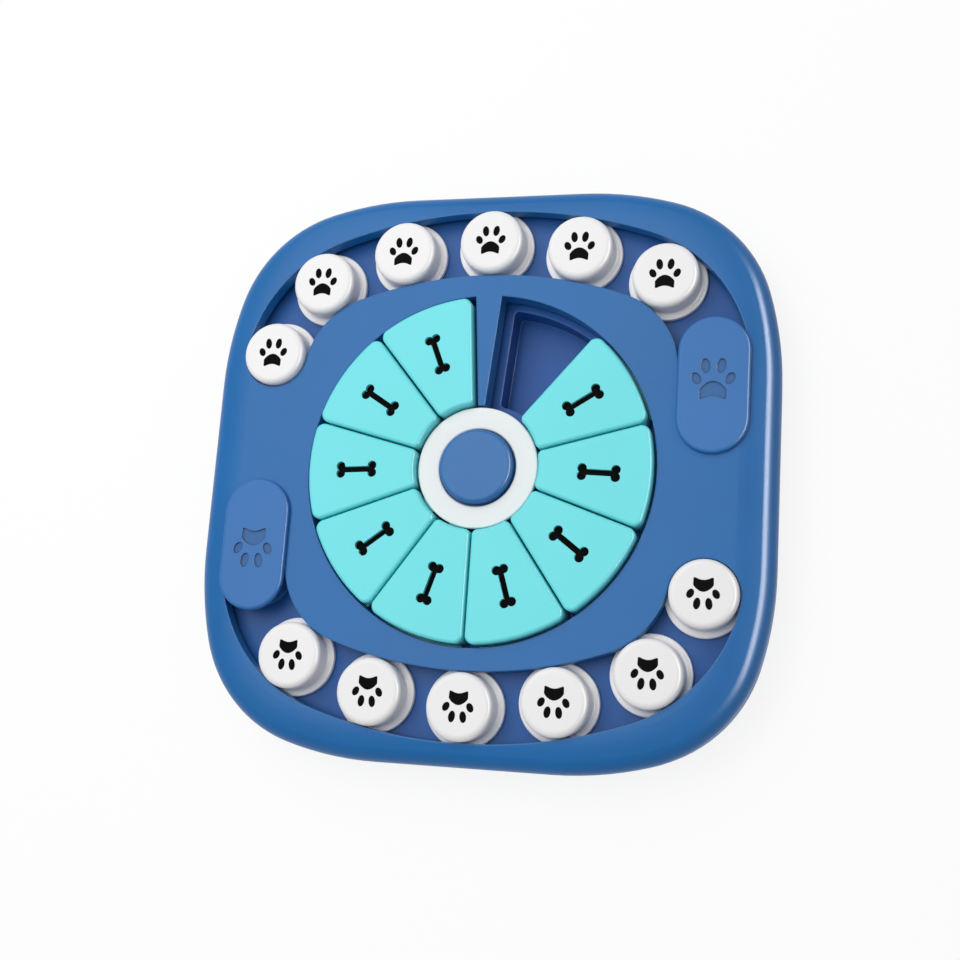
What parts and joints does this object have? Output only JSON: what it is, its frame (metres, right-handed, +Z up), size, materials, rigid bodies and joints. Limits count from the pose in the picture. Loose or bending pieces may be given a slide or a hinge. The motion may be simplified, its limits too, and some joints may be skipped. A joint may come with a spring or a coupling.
{
  "type": "dog puzzle feeder toy",
  "caption": "Square treat puzzle for dogs: sliding wedges round a press button, two curved tracks of sliding paw knobs and two sliding lids over treat pockets.",
  "frame": {"origin": "centre of the four rubber feet on the table, under the centre button", "axes": "+Z up out of the deck, +Y towards the row of knobs whose paws stand upright, +X towards the lid beside that row's free end"},
  "size_m": [0.29, 0.29, 0.0383],
  "materials": {
    "deck_blue": "satin moulded",
    "base_blue": "satin moulded",
    "pocket_blue": "satin moulded",
    "tray_blue": "satin moulded",
    "wedge_aqua": "satin moulded",
    "ring_white": "satin moulded",
    "button_blue": "satin moulded",
    "knob_white": "gloss moulded",
    "paw_black": "satin inlay",
    "lid_blue": "satin moulded",
    "bulb_ivory": "matt moulded",
    "screw_steel": "plain",
    "foot_rubber": "matt"
  },
  "bodies": {
    "housing": {"top_cover": "deck_blue", "base_shell": "base_blue", "wheel_tub": "pocket_blue", "track_tray_top": "tray_blue", "track_tray_bottom": "tray_blue", "retaining_ring": "ring_white", "squeaker_bulb": "bulb_ivory", "base_screws": "screw_steel", "rubber_feet": "foot_rubber"},
    "wedge_1": {"wedge_1": "wedge_aqua"},
    "wedge_2": {"wedge_2": "wedge_aqua"},
    "wedge_3": {"wedge_3": "wedge_aqua"},
    "wedge_4": {"wedge_4": "wedge_aqua"},
    "wedge_5": {"wedge_5": "wedge_aqua"},
    "wedge_6": {"wedge_6": "wedge_aqua"},
    "wedge_7": {"wedge_7": "wedge_aqua"},
    "wedge_8": {"wedge_8": "wedge_aqua"},
    "wedge_9": {"wedge_9": "wedge_aqua"},
    "knob_top_1": {"knob_top_1": "knob_white", "paw_top_1": "paw_black"},
    "knob_top_2": {"knob_top_2": "knob_white", "paw_top_2": "paw_black"},
    "knob_top_3": {"knob_top_3": "knob_white", "paw_top_3": "paw_black"},
    "knob_top_4": {"knob_top_4": "knob_white", "paw_top_4": "paw_black"},
    "knob_top_5": {"knob_top_5": "knob_white", "paw_top_5": "paw_black"},
    "knob_top_6": {"knob_top_6": "knob_white", "paw_top_6": "paw_black"},
    "knob_bottom_1": {"knob_bottom_1": "knob_white", "paw_bottom_1": "paw_black"},
    "knob_bottom_2": {"knob_bottom_2": "knob_white", "paw_bottom_2": "paw_black"},
    "knob_bottom_3": {"knob_bottom_3": "knob_white", "paw_bottom_3": "paw_black"},
    "knob_bottom_4": {"knob_bottom_4": "knob_white", "paw_bottom_4": "paw_black"},
    "knob_bottom_5": {"knob_bottom_5": "knob_white", "paw_bottom_5": "paw_black"},
    "knob_bottom_6": {"knob_bottom_6": "knob_white", "paw_bottom_6": "paw_black"},
    "lid_right": {"lid_right": "lid_blue", "lid_foot_right": "tray_blue", "lid_screw_right": "screw_steel"},
    "lid_left": {"lid_left": "lid_blue", "lid_foot_left": "tray_blue", "lid_screw_left": "screw_steel"},
    "button": {"centre_button": "button_blue"}
  },
  "joints": [
    {"name": "wedge_1_turn", "type": "hinge", "parent": "housing", "child": "wedge_1", "pos_m": [0, 0, 0.034], "axis": [0, 0, 1], "range_deg": [0, 34.5]},
    {"name": "wedge_2_turn", "type": "hinge", "parent": "housing", "child": "wedge_2", "pos_m": [0, 0, 0.034], "axis": [0, 0, 1], "range_deg": [0, 34.5]},
    {"name": "wedge_3_turn", "type": "hinge", "parent": "housing", "child": "wedge_3", "pos_m": [0, 0, 0.034], "axis": [0, 0, 1], "range_deg": [0, 34.5]},
    {"name": "wedge_4_turn", "type": "hinge", "parent": "housing", "child": "wedge_4", "pos_m": [0, 0, 0.034], "axis": [0, 0, 1], "range_deg": [0, 34.5]},
    {"name": "wedge_5_turn", "type": "hinge", "parent": "housing", "child": "wedge_5", "pos_m": [0, 0, 0.034], "axis": [0, 0, 1], "range_deg": [0, 34.5]},
    {"name": "wedge_6_turn", "type": "hinge", "parent": "housing", "child": "wedge_6", "pos_m": [0, 0, 0.034], "axis": [0, 0, 1], "range_deg": [0, 34.5]},
    {"name": "wedge_7_turn", "type": "hinge", "parent": "housing", "child": "wedge_7", "pos_m": [0, 0, 0.034], "axis": [0, 0, 1], "range_deg": [0, 34.5]},
    {"name": "wedge_8_turn", "type": "hinge", "parent": "housing", "child": "wedge_8", "pos_m": [0, 0, 0.034], "axis": [0, 0, 1], "range_deg": [0, 34.5]},
    {"name": "wedge_9_turn", "type": "hinge", "parent": "housing", "child": "wedge_9", "pos_m": [0, 0, 0.034], "axis": [0, 0, 1], "range_deg": [0, 34.5]},
    {"name": "knob_top_1_move", "type": "hinge", "parent": "housing", "child": "knob_top_1", "pos_m": [-0.0547, 0.04823, 0.034], "axis": [0, 0, -1], "range_deg": [0, 4.86]},
    {"name": "knob_top_2_move", "type": "hinge", "parent": "housing", "child": "knob_top_2", "pos_m": [-0.0547, 0.04823, 0.034], "axis": [0, 0, -1], "range_deg": [0, 5.73]},
    {"name": "knob_top_3_move", "type": "hinge", "parent": "housing", "child": "knob_top_3", "pos_m": [0, -0.1085, 0.034], "axis": [0, 0, -1], "range_deg": [0, 1.58]},
    {"name": "knob_top_4_move", "type": "hinge", "parent": "housing", "child": "knob_top_4", "pos_m": [0, -0.1085, 0.034], "axis": [0, 0, -1], "range_deg": [0, 1.58]},
    {"name": "knob_top_5_move", "type": "hinge", "parent": "housing", "child": "knob_top_5", "pos_m": [0, -0.1085, 0.034], "axis": [0, 0, -1], "range_deg": [0, 1.5]},
    {"name": "knob_top_6_move", "type": "hinge", "parent": "housing", "child": "knob_top_6", "pos_m": [0.0547, 0.04823, 0.034], "axis": [0, 0, -1], "range_deg": [0, 10.2]},
    {"name": "knob_bottom_1_move", "type": "hinge", "parent": "housing", "child": "knob_bottom_1", "pos_m": [0.0547, -0.04823, 0.034], "axis": [0, 0, -1], "range_deg": [0, 4.86]},
    {"name": "knob_bottom_2_move", "type": "hinge", "parent": "housing", "child": "knob_bottom_2", "pos_m": [0.0547, -0.04823, 0.034], "axis": [0, 0, -1], "range_deg": [0, 5.73]},
    {"name": "knob_bottom_3_move", "type": "hinge", "parent": "housing", "child": "knob_bottom_3", "pos_m": [0, 0.1085, 0.034], "axis": [0, 0, -1], "range_deg": [0, 1.58]},
    {"name": "knob_bottom_4_move", "type": "hinge", "parent": "housing", "child": "knob_bottom_4", "pos_m": [0, 0.1085, 0.034], "axis": [0, 0, -1], "range_deg": [0, 1.58]},
    {"name": "knob_bottom_5_move", "type": "hinge", "parent": "housing", "child": "knob_bottom_5", "pos_m": [0, 0.1085, 0.034], "axis": [0, 0, -1], "range_deg": [0, 1.5]},
    {"name": "knob_bottom_6_move", "type": "hinge", "parent": "housing", "child": "knob_bottom_6", "pos_m": [-0.0547, -0.04823, 0.034], "axis": [0, 0, -1], "range_deg": [0, 10.2]},
    {"name": "lid_right_slide", "type": "slide", "parent": "housing", "child": "lid_right", "axis": [0, -1, 0], "range_m": [0, 0.0255]},
    {"name": "lid_left_slide", "type": "slide", "parent": "housing", "child": "lid_left", "axis": [0, 1, 0], "range_m": [0, 0.0255]},
    {"name": "button_press", "type": "slide", "parent": "housing", "child": "button", "axis": [0, 0, -1], "range_m": [0, 0.003], "stiffness_N_per_m": 400, "deforming": ["squeaker_bulb"]}
  ],
  "couplings": [
    {"joint": "wedge_2_turn", "follows": "wedge_1_turn", "ratio": 1},
    {"joint": "wedge_3_turn", "follows": "wedge_1_turn", "ratio": 1},
    {"joint": "wedge_4_turn", "follows": "wedge_1_turn", "ratio": 1},
    {"joint": "wedge_5_turn", "follows": "wedge_1_turn", "ratio": 1},
    {"joint": "wedge_6_turn", "follows": "wedge_1_turn", "ratio": 1},
    {"joint": "wedge_7_turn", "follows": "wedge_1_turn", "ratio": 1},
    {"joint": "wedge_8_turn", "follows": "wedge_1_turn", "ratio": 1},
    {"joint": "wedge_9_turn", "follows": "wedge_1_turn", "ratio": 1}
  ]
}
